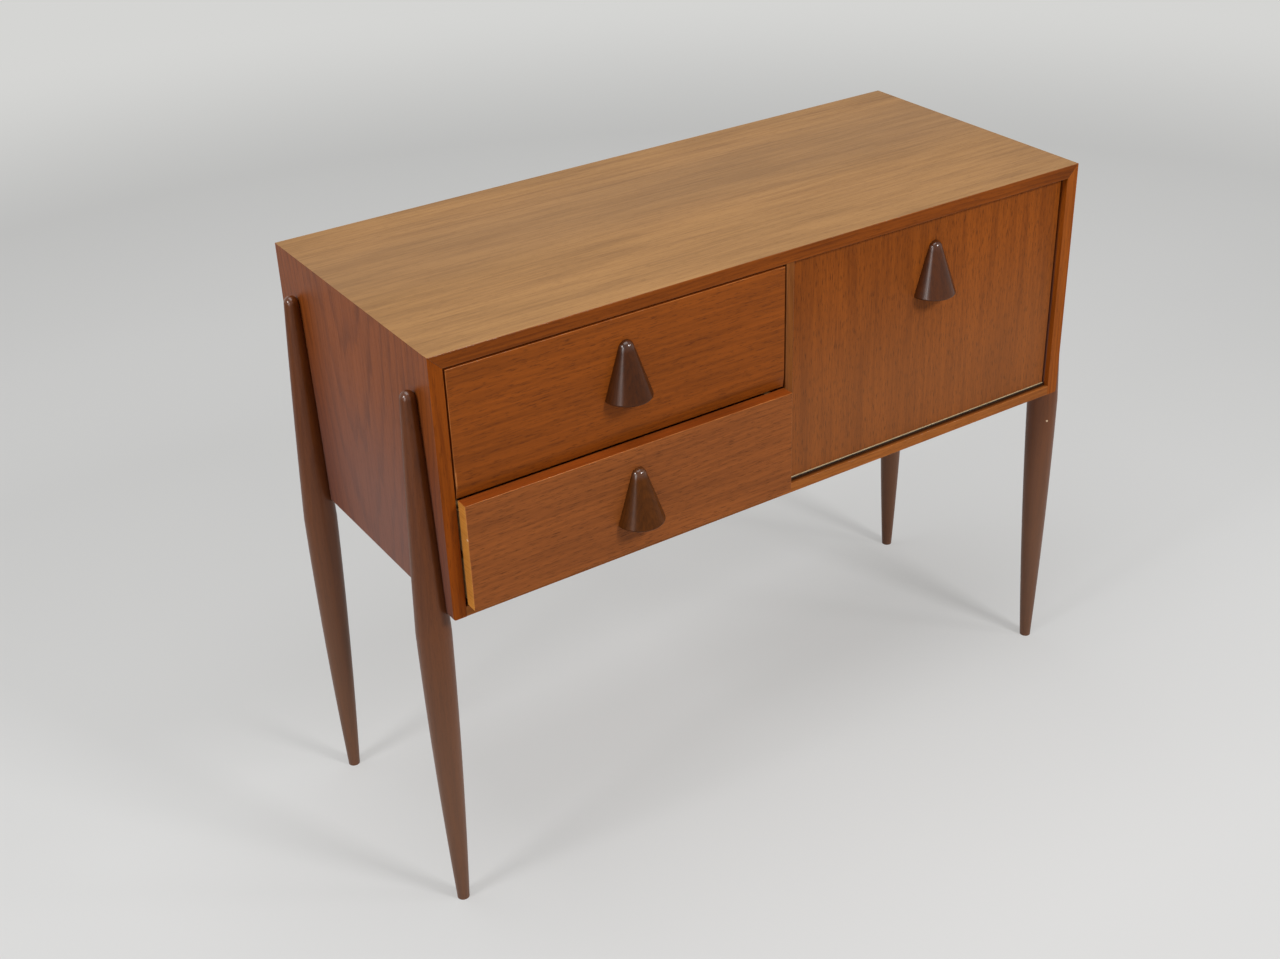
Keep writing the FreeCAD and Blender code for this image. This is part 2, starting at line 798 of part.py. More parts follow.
fixings_post = pair_of_screws(
    "guide_post_screws", (1, 0, 0), post_face, "2 * post_screw_reach", "z", "short_screw_length"
)

divider_board = box(
    "divider_board",
    ("divider_left", "divider_right"),
    ("lipped", "back_face"),
    ("bottom_face - housing_depth", "ceiling + housing_depth"),
)
node(cut("divider", divider_board, fixings_runner), "divider")
node(
    box("divider_lip", ("divider_left", "divider_right"), ("front", "lipped"), ("bottom_face", "ceiling")),
    "divider_lipping",
)

top_board = mitred_top("top_board", "lipped", "rear")
tongues = (left_tongue, right_tongue)
node(
    cut("top_panel", top_board, carcass_back, *tongues, divider_board, fixings_catch, fixings_back),
    "top_panel",
)
node(mitred_top("top_lip", "front", "lipped"), "top_lipping")

left_board = mitred_side("left_board", "-half_width", "-inner", "lipped", "rear")
side_fixings = (carcass_back, dowels, fixings_leg, fixings_back)
node(cut("left_side", left_board, *side_fixings, left_tongue, fixings_runner), "left_side")
node(mitred_side("left_lip", "-half_width", "-inner", "front", "lipped"), "left_lipping")

right_board = mitred_side("right_board", "half_width", "inner", "lipped", "rear")
node(cut("right_side", right_board, *side_fixings, right_tongue, fixings_post), "right_side")
node(mitred_side("right_lip", "half_width", "inner", "front", "lipped"), "right_lipping")

bottom_board = box(
    "bottom_board", ("-inner", "inner"), ("lipped", "back_face"), ("underside_height", "bottom_face")
)
node(
    cut("bottom_panel", bottom_board, dowels, divider_board, fixings_hinge, fixings_back),
    "bottom_panel",
)
node(
    box("bottom_lip", ("-inner", "inner"), ("front", "lipped"), ("underside_height", "bottom_face")),
    "bottom_lipping",
)

floor_block = box(
    "floor_block",
    ("-foot_x - leg_belly_radius", "foot_x + leg_belly_radius"),
    ("front - carcass_depth", "rear + carcass_depth"),
    ("-2 * leg_foot_trim", "0"),
)
side_spans = {"left": ("-half_width", "-inner"), "right": ("inner", "half_width")}
for hand, span in side_spans.items():
    side = "-" if hand == "left" else ""
    notch = box(f"{hand}_leg_notch", span, ("front", "rear"), ("underside_height", "top"))
    cuts = (notch, floor_block, fixings_leg)
    leg(f"front_{hand}_leg", side, "front_foot_y", "front_leg_rake", *cuts)
    leg(f"rear_{hand}_leg", side, "rear_foot_y", None, *cuts)

# The two drawers
drawer("upper", "front", bevelled_front)
drawer("lower", "front - lower_ajar", plain_front)

# The flap and what hangs it
plate_low = ("bottom_face", "bottom_face + leaf_thickness")
plate_high = ("flap_bottom - leaf_thickness", "flap_bottom")
hinge_leaf("hinge_carcass_leaf", 1, plate_low, fixings_hinge)
pin_start = ("flap_left", "hinge_y", "hinge_z")
pin = bar("hinge_pin_bar", (1, 0, 0), pin_start, "pin_radius", "flap_right - flap_left")
node(pin, "hinge_pin")
fixings_flap = leaf_screws("hinge_flap_screws", "flap_bottom - leaf_thickness", 1)
hinge_leaf("hinge_flap_leaf", 0, plate_high, fixings_flap)

flap_top = "ceiling - front_gap"
keeper_board = box(
    "keeper_board",
    ("flap_middle - keeper_width / 2", "flap_middle + keeper_width / 2"),
    ("flap_back", "flap_back + keeper_thickness"),
    (f"{flap_top} - keeper_height", flap_top),
)
keeper_centre = ("flap_middle", "flap_back + keeper_thickness", f"{flap_top} - keeper_height / 2")
fixings_keeper = pair_of_screws(
    "keeper_screws", (0, -1, 0), keeper_centre, "keeper_screw_apart", "x", "short_screw_length"
)
node(cut("catch_keeper", keeper_board, fixings_keeper), "catch_keeper")
catch_block = box(
    "catch_block",
    ("flap_middle - catch_width / 2", "flap_middle + catch_width / 2"),
    ("catch_front", "catch_front + catch_depth"),
    ("ceiling - catch_height", "ceiling"),
)
node(cut("catch_body", catch_block, fixings_catch), "catch_body")

bracket_centre = ("lug_face - bracket_width / 2", "flap_back + bracket_thickness", "stud_z")
fixings_bracket = pair_of_screws(
    "stay_bracket_screws", (0, -1, 0), bracket_centre, "bracket_screw_apart", "z", "short_screw_length"
)
bracket_plate = box(
    "bracket_plate",
    ("lug_face - bracket_width", "lug_face"),
    ("flap_back", "flap_back + bracket_thickness"),
    ("stud_z - bracket_height / 2", "stud_z + bracket_height / 2"),
)
bracket_lug = box(
    "bracket_lug",
    ("lug_face - bracket_thickness", "lug_face"),
    ("flap_back", "stud_y + eye_radius"),
    ("stud_z - eye_radius", "stud_z + eye_radius"),
)
stud_length = "eye_width + 2 * eye_gap"
stud_root = ("lug_face - bracket_thickness / 2", "stud_y", "stud_z")
stud_reach = f"{stud_length} + bracket_thickness / 2 + stud_head_width / 2"
bracket_stud = bar("bracket_stud", (1, 0, 0), stud_root, "stud_radius", stud_reach)
head_start = (f"lug_face + {stud_length}", "stud_y", "stud_z")
stud_head = bar("stud_head", (1, 0, 0), head_start, "stud_head_radius", "stud_head_width")
bracket_whole = fuse("bracket_whole", bracket_plate, bracket_lug, bracket_stud, stud_head)
node(cut("stay_bracket", bracket_whole, fixings_bracket), "stay_bracket")

flap_base_z = f"{flap_top} - flap_handle_drop - handle_length"
fixings_flap_handle = handle_screws(
    "flap_handle_screws", "flap_handle_middle", "hinge_y", "flap_thickness", flap_base_z
)
flap_board = box(
    "flap_board", ("flap_left", "flap_right"), ("hinge_y", "flap_back"), ("flap_bottom", flap_top)
)
node(
    cut("flap_panel", flap_board, fixings_flap, fixings_keeper, fixings_bracket, fixings_flap_handle),
    "flap_panel",
)
handle("flap_handle", "flap_handle_middle", "hinge_y", flap_base_z, fixings_flap_handle)

# The stay: rod on the flap's stud, sliding in a guide that swivels on the side
rod_bar = along_rod("rod_bar", "0", "rod_radius", "rod_length")
eye_start = ("stay_x - eye_width / 2", "stud_y", "stud_z")
eye = bar("rod_eye", (1, 0, 0), eye_start, "eye_radius", "eye_width")
eye_bore = bar("eye_bore", (1, 0, 0), eye_start, "stud_radius + stud_play", "eye_width")
node(cut("stay_rod", fuse("rod_whole", eye, rod_bar), eye_bore), "stay_rod")
knob_bar = along_rod("knob_bar", "knob_start", "knob_radius", "knob_length")
node(cut("stay_knob", knob_bar, rod_bar), "stay_knob")

closed_chord = "2 * stay_reach * sin(stay_lag / 2)"
guide_start = "stay_x - guide_radius"
guide_face = (guide_start, "guide_y", "guide_z")
guide_block = bar("guide_block", (1, 0, 0), guide_face, "guide_radius", f"guide_end - ({guide_start})")
hole_start = f"{closed_chord} - 2 * guide_radius"
rod_hole = along_rod("rod_hole", hole_start, "rod_radius + rod_play", "4 * guide_radius")
socket_start = ("post_socket", "guide_y", "guide_z")
socket_depth = "guide_end - post_socket"
post_hole = bar("post_hole", (1, 0, 0), socket_start, "post_radius + stud_play", socket_depth)
node(cut("stay_guide", guide_block, rod_hole, post_hole), "stay_guide")
post_plate = bar("post_plate", (1, 0, 0), post_face, "post_plate_radius", "bracket_thickness")
pin_tip = ("post_socket + guide_gap", "guide_y", "guide_z")
pin_reach = "inner - post_socket - guide_gap"
post_pin = bar("post_pin", (1, 0, 0), pin_tip, "post_radius", pin_reach)
node(cut("guide_post", fuse("post_whole", post_plate, post_pin), fixings_post), "guide_post")

doc.recompute()

# Every object has to be sound before anything is written
for thing in doc.Objects:
    if {"Invalid", "Error"} & set(thing.State):
        raise RuntimeError(f"{thing.Label} failed: {thing.State}")
for piece in nodes:
    if piece.Shape.isNull() or not piece.Shape.isValid() or not piece.Shape.Solids:
        raise RuntimeError(f"{piece.Label} has no sound shape")

os.makedirs("parts", exist_ok=True)
for piece in nodes:
    piece.Shape.exportStep(f"parts/{piece.Label}.step")
print(f"{len(nodes)} pieces written")
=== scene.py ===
# A low teak chest on four turned legs, with two drawers on the left and a drop flap on the right.
import math

import bmesh
import bpy
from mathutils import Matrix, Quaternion, Vector


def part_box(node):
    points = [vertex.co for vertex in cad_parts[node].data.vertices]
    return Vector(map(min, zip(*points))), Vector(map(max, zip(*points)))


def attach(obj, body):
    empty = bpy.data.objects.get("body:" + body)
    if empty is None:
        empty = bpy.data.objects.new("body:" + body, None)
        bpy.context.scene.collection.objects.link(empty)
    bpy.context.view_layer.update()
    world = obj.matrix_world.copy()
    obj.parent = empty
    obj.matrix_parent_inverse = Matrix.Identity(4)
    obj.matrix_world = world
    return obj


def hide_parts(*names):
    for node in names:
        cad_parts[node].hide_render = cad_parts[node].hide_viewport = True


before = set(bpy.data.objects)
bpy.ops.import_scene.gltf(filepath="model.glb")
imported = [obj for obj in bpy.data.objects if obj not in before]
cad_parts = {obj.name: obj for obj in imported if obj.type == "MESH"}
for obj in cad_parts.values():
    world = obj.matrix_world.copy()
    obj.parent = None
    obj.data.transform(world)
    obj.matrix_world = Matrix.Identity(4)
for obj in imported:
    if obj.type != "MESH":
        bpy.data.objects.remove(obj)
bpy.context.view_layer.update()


# Top
# A board of veneered ply whose ends are mitred at 45 degrees to meet the sides. The teak runs along it,
# and years of daylight have bleached this face paler and more golden than the rest of the chest, with a
# greyer band towards the back.

def look(red, green, blue):
    """A colour as it looks, in steps from 0 to 255, as the linear colour that a shader takes."""
    def linear(level):
        share = level / 255
        return share / 12.92 if share <= 0.04045 else ((share + 0.055) / 1.055) ** 2.4
    return linear(red), linear(green), linear(blue), 1


def add(tree, kind, inputs=None, **settings):
    """Add a shader node; each input is a plain value or the output of another node."""
    made = tree.nodes.new("ShaderNode" + kind)
    for name, setting in settings.items():
        setattr(made, name, setting)
    for name, given in (inputs or {}).items():
        if isinstance(given, bpy.types.NodeSocket):
            tree.links.new(given, made.inputs[name])
        else:
            made.inputs[name].default_value = given
    return made


def maths(tree, operation, *terms, limit=False):
    """The result of a sum on values that change over the surface."""
    return add(tree, "Math", dict(enumerate(terms)), operation=operation, use_clamp=limit).outputs[0]


def ease(tree, value, low, high):
    """0 below low, 1 above high and a smooth rise between them."""
    inputs = {"Value": value, "From Min": low, "From Max": high}
    return add(tree, "MapRange", inputs, interpolation_type="SMOOTHSTEP").outputs[0]


def blend_colours(tree, share, first, second, way="MIX"):
    """Two colours mixed by a share that changes over the surface."""
    return add(tree, "Mix", {0: share, 6: first, 7: second}, data_type="RGBA", blend_type=way).outputs[2]


def stretched_noise(tree, vector, stretch, detail):
    """Noise whose spots are one over stretch metres long in each direction."""
    scaled = add(tree, "VectorMath", {0: vector, 1: stretch}, operation="MULTIPLY").outputs[0]
    inputs = {"Vector": scaled, "Scale": 1, "Detail": detail, "Roughness": 0.6}
    return add(tree, "TexNoise", inputs).outputs[0]


def new_group(name, inputs, outputs):
    """A shader node group with named sockets: the tree, what comes in and what goes out."""
    tree = bpy.data.node_groups.new(name, "ShaderNodeTree")
    for sockets, way in ((inputs, "INPUT"), (outputs, "OUTPUT")):
        for label, kind in sockets.items():
            tree.interface.new_socket(label, in_out=way, socket_type="NodeSocket" + kind)
    return tree, tree.nodes.new("NodeGroupInput").outputs, tree.nodes.new("NodeGroupOutput").inputs


def wood_figure():
    """Growth rings cut by a board, streaks, fibres and open pores; X runs along the grain, in metres."""
    tree, given, result = new_group(
        "Wood figure",
        {
            "Vector": "Vector", "Early wood": "Color", "Late wood": "Color", "Pores": "Color",
            "Heart depth": "Float", "Heart slope": "Float", "Ring width": "Float", "Ring onset": "Float",
            "Ring strength": "Float", "Streak strength": "Float", "Pore strength": "Float",
            "Gloss": "Float",
        },
        {"Colour": "Color", "Roughness": "Float", "Height": "Float"},
    )
    axes = add(tree, "SeparateXYZ", {0: given["Vector"]}).outputs
    drift = stretched_noise(tree, given["Vector"], (1.6, 5, 5), 2)
    wander = maths(tree, "MULTIPLY_ADD", drift, 0.06, axes["Y"])
    rise = maths(tree, "MULTIPLY_ADD", axes["X"], given["Heart slope"], given["Heart depth"])
    deep = maths(tree, "ADD", rise, axes["Z"])
    squares = maths(tree, "MULTIPLY_ADD", wander, wander, maths(tree, "MULTIPLY", deep, deep))
    rings = maths(tree, "DIVIDE", maths(tree, "SQRT", squares), given["Ring width"])
    wobble = stretched_noise(tree, given["Vector"], (4, 60, 60), 3)
    ring = maths(tree, "FRACT", maths(tree, "MULTIPLY_ADD", wobble, 1.1, rings))
    fall = maths(tree, "SUBTRACT", 1, ease(tree, ring, 0.88, 1))
    late = maths(tree, "MULTIPLY", ease(tree, ring, given["Ring onset"], 0.9), fall)
    streaks = ease(tree, stretched_noise(tree, given["Vector"], (5, 62, 62), 6), 0.36, 0.72)
    fibres = stretched_noise(tree, given["Vector"], (7, 320, 320), 4)
    pores = ease(tree, stretched_noise(tree, given["Vector"], (72, 820, 820), 2), 0.53, 0.7)
    clouds = stretched_noise(tree, given["Vector"], (3, 11, 11), 2)

    lines = maths(tree, "MULTIPLY", late, given["Ring strength"])
    bands = maths(tree, "MULTIPLY_ADD", streaks, given["Streak strength"], lines)
    threads = ease(tree, fibres, 0.3, 0.7)
    dark = maths(tree, "MULTIPLY_ADD", threads, 0.45, maths(tree, "SUBTRACT", bands, 0.17), limit=True)
    plain = blend_colours(tree, dark, given["Early wood"], given["Late wood"])
    level = maths(tree, "MULTIPLY_ADD", clouds, 0.4, 0.8)
    clouded = add(tree, "HueSaturation", {"Color": plain, "Value": level}).outputs[0]
    open_pores = maths(tree, "MULTIPLY", pores, given["Pore strength"])
    tree.links.new(blend_colours(tree, open_pores, clouded, given["Pores"]), result["Colour"])
    uneven = maths(tree, "MULTIPLY_ADD", fibres, 0.14, maths(tree, "SUBTRACT", given["Gloss"], 0.07))
    tree.links.new(maths(tree, "MULTIPLY_ADD", open_pores, 0.15, uneven), result["Roughness"])
    raised = maths(tree, "MULTIPLY", fibres, 0.5)
    tree.links.new(maths(tree, "SUBTRACT", raised, open_pores), result["Height"])
    return tree


def worn_and_lit_edges():
    """How far an eased arris has worn through its finish (on the fronts also a painted highlight) and been
    polished by hands, in patches.
    """
    tree, given, result = new_group(
        "Worn and lit edges",
        {"Vector": "Vector", "Arris": "Float", "Reach": "Float"},
        {"Wear and highlight": "Float", "Polish": "Float"},
    )
    patches = ease(tree, stretched_noise(tree, given["Vector"], (22, 22, 22), 3), 0.38, 0.62)
    share = maths(tree, "MULTIPLY_ADD", patches, 0.7, 0.3)
    worn_and_lit = maths(tree, "MULTIPLY", given["Arris"], share)
    tree.links.new(maths(tree, "MULTIPLY", worn_and_lit, given["Reach"]), result["Wear and highlight"])
    tree.links.new(maths(tree, "MULTIPLY", worn_and_lit, 0.35), result["Polish"])
    return tree


FIGURE = wood_figure()
WORN_AND_LIT = worn_and_lit_edges()


def new_finish(name):
    """A new material: itself, its node tree and its shader."""
    made = bpy.data.materials.new(name)
    made.use_nodes = True
    return made, made.node_tree, made.node_tree.nodes["Principled BSDF"]


def place_on(tree):
    """The place on the piece in metres, as its X, Y and Z."""
    return add(tree, "SeparateXYZ", {0: add(tree, "TexCoord").outputs["Object"]}).outputs


def board_grain(tree, grain, start):
    """Coordinates on the piece in metres: along the grain, across it and through the board."""
    axes = place_on(tree)
    turned = add(tree, "CombineXYZ", {n: axes[axis] for n, axis in enumerate(grain)}).outputs[0]
    return add(tree, "VectorMath", {0: turned, 1: start}, operation="ADD").outputs[0]


def wood(name, grain, start, early, late, pores, worn_and_lit, heart=(0.3, 0), ring_width=0.008, onset=0.25,
         rings=0.4, streaks=0.4, pore_strength=0.4, gloss=0.45, wear_and_highlight=0.4, relief=0.25, shine=0.12,
         coat_gloss=0.2, knock_and_glint=None, painted_light_and_tone_band=None):
    """A finished wooden surface: its figure, open pores, uneven gloss and arrises lightened by wear and
    painted highlight.

    grain names the axes along the grain, across it and through the board. start is where in its log the
    piece was cut, and heart how deep the log's heart lies behind the face and how it slopes. knock gives
    the place, the reach along each axis and the colour of one spot of another colour, such as a knock in the
    finish or a painted highlight. soil gives the axis, the place on it, the half width, the colour and the
    strength of a band of another colour: painted shade, a painted reflection of the floor, or a greyer tone.
    """
    made, tree, shader = new_finish(name)
    vector = board_grain(tree, grain, start)
    figure = add(tree, "Group", node_tree=FIGURE)
    settings = {
        "Early wood": early, "Late wood": late, "Pores": pores, "Heart depth": heart[0],
        "Heart slope": heart[1], "Ring width": ring_width, "Ring onset": onset, "Ring strength": rings,
        "Streak strength": streaks, "Pore strength": pore_strength, "Gloss": gloss,
    }
    for label, setting in settings.items():
        figure.inputs[label].default_value = setting
    tree.links.new(vector, figure.inputs["Vector"])
    edges = add(tree, "Group", node_tree=WORN_AND_LIT)
    edges.inputs["Reach"].default_value = wear_and_highlight
    tree.links.new(vector, edges.inputs["Vector"])
    arris = add(tree, "Attribute", attribute_name="arris").outputs["Fac"]
    tree.links.new(arris, edges.inputs["Arris"])
    depth = 0.0004
    bump = add(tree, "Bump", {"Strength": relief, "Distance": depth, "Height": figure.outputs["Height"]})
    shader.inputs["Specular IOR Level"].default_value = shine
    shader.inputs["Coat Roughness"].default_value = coat_gloss
    tree.links.new(edges.outputs["Polish"], shader.inputs["Coat Weight"])
    colour = blend_colours(tree, edges.outputs["Wear and highlight"], figure.outputs["Colour"], worn_and_lit)
    if knock_and_glint:
        place, reach, spot_colour = knock_and_glint
        spot = add(tree, "TexCoord").outputs["Object"]
        offset = add(tree, "VectorMath", {0: spot, 1: place}, operation="SUBTRACT").outputs[0]
        shares = add(tree, "VectorMath", {0: offset, 1: reach}, operation="DIVIDE").outputs[0]
        away = add(tree, "VectorMath", {0: shares}, operation="LENGTH").outputs["Value"]
        ragged = stretched_noise(tree, spot, (600, 600, 600), 2)
        kept = ease(tree, maths(tree, "ADD", ragged, away), 0.9, 1.2)
        colour = blend_colours(tree, kept, spot_colour, colour)
    if painted_light_and_tone_band:
        axis, level, half, band_colour, strength = painted_light_and_tone_band
        away = maths(tree, "ABSOLUTE", maths(tree, "SUBTRACT", place_on(tree)[axis], level))
        band_share = maths(tree, "MULTIPLY", ease(tree, away, half, 0.2 * half), strength)
        colour = blend_colours(tree, band_share, colour, band_colour)
    tree.links.new(colour, shader.inputs["Base Color"])
    tree.links.new(figure.outputs["Roughness"], shader.inputs["Roughness"])
    tree.links.new(bump.outputs[0], shader.inputs["Normal"])
    return made


def eased(node, body, finish, arris, keep="", rounded=None, shortest=0.003, crease=6):
    """A copy of a CAD piece with its outside arrises eased, which stands for the plain one.

    keep names the faces, such as y- for the front one, whose edges stay sharp because another board
    meets them there. rounded gives the edge between two faces a larger radius. Edges below the shortest
    length, such as those round a screw hole, stay sharp too. Faces that meet at more than the crease's
    degrees keep a crisp edge between them.
    """
    low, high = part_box(node)
    shape = bmesh.new()
    shape.from_mesh(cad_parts[node].data)
    bmesh.ops.remove_doubles(shape, verts=shape.verts, dist=1e-6)
    flat = math.radians(0.5)
    bmesh.ops.dissolve_limit(shape, angle_limit=flat, verts=shape.verts, edges=shape.edges)
    rub = shape.faces.layers.float.new("arris")
    corner = math.radians(50)
    near = 1e-5
    round_steps, arris_steps = 6, 3

    def on(edge, face):
        axis = "xyz".index(face[0])
        limit = (low if face[1] == "-" else high)[axis]
        return all(abs(vert.co[axis] - limit) < near for vert in edge.verts)

    def take_off(edges, width, steps):
        made = bmesh.ops.bevel(shape, geom=edges, offset=width, offset_type="OFFSET", segments=steps,
                               profile=0.5, affect="EDGES", clamp_overlap=True)
        for face in made["faces"]:
            face[rub] = 1

    if rounded:
        faces, radius = rounded
        between = [edge for edge in shape.edges if all(on(edge, face) for face in faces.split())]
        take_off(between, radius, round_steps)
    take_off([
        edge for edge in shape.edges
        if len(edge.link_faces) == 2 and edge.is_convex and edge.calc_face_angle(0) > corner
        and edge.calc_length() > shortest and not any(on(edge, face) for face in keep.split())
    ], arris, arris_steps)
    for edge in shape.edges:
        soft = corner if any(face[rub] for face in edge.link_faces) else math.radians(crease)
        edge.smooth = len(edge.link_faces) == 2 and edge.calc_face_angle(0) < soft
    for face in shape.faces:
        face.smooth = True
    # Rounding leaves its new faces in an order that changes from run to run, so they are sorted by place.
    across = Vector((1, 7.3, 53.1))
    shape.verts.sort(key=lambda vert: vert.co.dot(across))
    shape.edges.sort(key=lambda edge: (edge.verts[0].co + edge.verts[1].co).dot(across))
    shape.faces.sort(key=lambda face: face.calc_center_median().dot(across))
    mesh = bpy.data.meshes.new(node + "_eased")
    shape.to_mesh(mesh)
    shape.free()
    if "custom_normal" in mesh.attributes:
        mesh.attributes.remove(mesh.attributes["custom_normal"])
    mesh.materials.clear()
    mesh.materials.append(finish)
    piece = bpy.data.objects.new(node + "_eased", mesh)
    bpy.context.scene.collection.objects.link(piece)
    piece.modifiers.new("flat_faces", "WEIGHTED_NORMAL").keep_sharp = True
    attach(piece, body)
    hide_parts(node)
    return piece


def face_finish(piece, finish, side):
    """Give the faces that look towards one side, such as z+ for upwards, a finish of their own."""
    piece.data.materials.append(finish)
    axis = "xyz".index(side[0])
    way = 1 if side[1] == "+" else -1
    for polygon in piece.data.polygons:
        if polygon.normal[axis] * way > 0.9:
            polygon.material_index = len(piece.data.materials) - 1


board_arris = 0.0008
greyed_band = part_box("top_panel")[1].y - 0.15
teak_top = wood(
    "teak_top", "XYZ", (0.31, 0.52, 0.2),
    early=look(157, 116, 71), late=look(120, 85, 52), pores=look(92, 63, 39), worn_and_lit=look(144, 94, 52),
    heart=(0.5, 0.05), ring_width=0.012, rings=0.15, streaks=0.4, pore_strength=0.3,
    painted_light_and_tone_band=("Y", greyed_band, 0.13, look(126, 96, 68), 0.3),
)
eased("top_panel", "carcass", teak_top, board_arris, keep="y-")


# Sides
# Two upright boards of veneered ply, mitred into the top. Their flat-cut teak shows cathedral arches and
# kept its red-brown colour, and is painted greyer towards the rounded lower edge: a painted reflection of
# the pale floor.

foot_round = 0.004
side_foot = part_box("left_side")[0].z
# The greyish band towards the lower edge is a painted reflection of the pale floor.
teak_side = wood(
    "teak_side", "ZYX", (-0.62, -0.06, 0.0),
    early=look(135, 69, 25), late=look(102, 49, 18), pores=look(72, 34, 14), worn_and_lit=look(146, 82, 36),
    heart=(0.022, 0.035), ring_width=0.0045, onset=0.5, rings=0.48, streaks=0.3, pore_strength=0.35,
    gloss=0.36, shine=0.1, painted_light_and_tone_band=("Z", side_foot, 0.3, look(113, 91, 91), 0.4),
)
eased("left_side", "carcass", teak_side, board_arris, "y-", ("x- z-", foot_round))
eased("right_side", "carcass", teak_side, board_arris, "y-", ("x+ z-", foot_round))


# Bottom and divider
# The bottom is dowelled between the sides, and the divider stands in housings in the bottom and the top.
# Both are thinner veneered boards that hardly see daylight.

teak_inside = wood(
    "teak_inside", "XYZ", (0.1, 1.2, 0.4),
    early=look(150, 92, 52), late=look(104, 60, 34), pores=look(72, 42, 26), worn_and_lit=look(160, 98, 54),
    heart=(0.4, 0.04), ring_width=0.01, rings=0.35, streaks=0.5, gloss=0.5,
)
teak_divider = wood(
    "teak_divider", "ZYX", (0.4, 0.7, 0.1),
    early=look(150, 90, 50), late=look(104, 60, 34), pores=look(72, 42, 26), worn_and_lit=look(160, 98, 54),
    heart=(0.4, 0.04), ring_width=0.01, rings=0.35, streaks=0.5, gloss=0.5,
)
eased("bottom_panel", "carcass", teak_inside, board_arris, keep="x- x+ y-")
eased("divider", "carcass", teak_divider, board_arris, keep="y- z- z+")


# Lippings
# Strips of solid teak glued along the front edges of the carcass boards to hide the ply. They are more
# orange than the veneer, and the top one was sanded flush and bleached together with the top.

lipping_look = dict(heart=(0.2, 0.02), ring_width=0.006, rings=0.3, streaks=0.45, shine=0.06)
lipping_above = wood(
    "lipping_above", "XZY", (0.7, 0.2, 0.3), **lipping_look,
    early=look(132, 66, 16), late=look(98, 46, 11), pores=look(72, 33, 9), worn_and_lit=look(138, 76, 26),
)
lipping_upright = wood(
    "lipping_upright", "ZXY", (0.2, 0.9, 0.5), **lipping_look,
    early=look(144, 70, 10), late=look(112, 51, 7), pores=look(78, 33, 5), worn_and_lit=look(152, 80, 20),
)
lipping_divider = wood(
    "lipping_divider", "ZXY", (0.9, 0.7, 0.4), **lipping_look,
    early=look(134, 77, 31), late=look(104, 57, 22), pores=look(74, 40, 16), worn_and_lit=look(142, 88, 42),
)
lipping_right = wood(
    "lipping_right", "ZXY", (0.6, 0.4, 0.2), **lipping_look,
    early=look(154, 80, 21), late=look(122, 60, 15), pores=look(84, 40, 11), worn_and_lit=look(160, 90, 32),
)
hinge_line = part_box("flap_panel")[0].y
# A dark band on the bottom strip along the hinge line is painted shade under the knuckles.
lipping_below = wood(
    "lipping_below", "XZY", (0.3, 0.6, 0.1), **lipping_look,
    early=look(160, 94, 40), late=look(128, 70, 28), pores=look(94, 50, 20), worn_and_lit=look(170, 106, 50),
    painted_light_and_tone_band=("Y", hinge_line, 0.0085, look(58, 30, 13), 1),
)
lipping_arris = 0.0009
top_lip = eased("top_lipping", "carcass", lipping_above, lipping_arris, "y+")
face_finish(top_lip, teak_top, "z+")
eased("bottom_lipping", "carcass", lipping_below, lipping_arris, "y+ x- x+")
eased("divider_lipping", "carcass", lipping_divider, lipping_arris, "y+ z- z+")
for hand, strip, outside in (("left", lipping_upright, "x-"), ("right", lipping_right, "x+")):
    lower_edge = (outside + " z-", foot_round)
    side_lip = eased(hand + "_lipping", "carcass", strip, lipping_arris, "y+", lower_edge)
    face_finish(side_lip, teak_side, outside)


# Back
# A sheet of thin ply let into a rebate round the back and screwed there. It was never finished like the
# rest: a dull stain over a plain rotary-cut face.

ply_back = wood(
    "ply_back", "XZY", (0.8, 0.3, 0.6),
    early=look(150, 108, 70), late=look(116, 78, 50), pores=look(86, 58, 38), worn_and_lit=look(172, 132, 92),
    heart=(0.05, 0.03), ring_width=0.022, rings=0.55, streaks=0.35, pore_strength=0.35, gloss=0.62,
)
ply_arris = 0.0004
eased("back_panel", "carcass", ply_back, ply_arris)


# Screws
# Countersunk screws of plain steel hold the back, the legs, the runners, the handles and the catch, and
# brass ones hold the hinge and the stay. The metal is dulled unevenly by age.

def aged_metal():
    """Patches of tarnish and fine scratches on bare metal."""
    tree, given, result = new_group(
        "Aged metal",
        {"Vector": "Vector", "Clean": "Color", "Tarnish": "Color", "Gloss": "Float"},
        {"Colour": "Color", "Roughness": "Float", "Height": "Float"},
    )
    patches = ease(tree, stretched_noise(tree, given["Vector"], (90, 90, 90), 4), 0.4, 0.68)
    scratches = stretched_noise(tree, given["Vector"], (60, 1500, 1500), 2)
    tree.links.new(blend_colours(tree, patches, given["Clean"], given["Tarnish"]), result["Colour"])
    dull = maths(tree, "MULTIPLY_ADD", patches, 0.2, given["Gloss"])
    tree.links.new(maths(tree, "MULTIPLY_ADD", scratches, 0.1, dull), result["Roughness"])
    tree.links.new(scratches, result["Height"])
    return tree


AGED = aged_metal()


def metal(name, clean, tarnish, gloss):
    """A bare metal with its tarnish."""
    made, tree, shader = new_finish(name)
    aged = add(tree, "Group", node_tree=AGED)
    tree.links.new(add(tree, "TexCoord").outputs["Object"], aged.inputs["Vector"])
    for label, setting in {"Clean": clean, "Tarnish": tarnish, "Gloss": gloss}.items():
        aged.inputs[label].default_value = setting
    depth = 0.0001
    bump = add(tree, "Bump", {"Strength": 0.15, "Distance": depth, "Height": aged.outputs["Height"]})
    shader.inputs["Metallic"].default_value = 1
    tree.links.new(aged.outputs["Colour"], shader.inputs["Base Color"])
    tree.links.new(aged.outputs["Roughness"], shader.inputs["Roughness"])
    tree.links.new(bump.outputs[0], shader.inputs["Normal"])
    return made


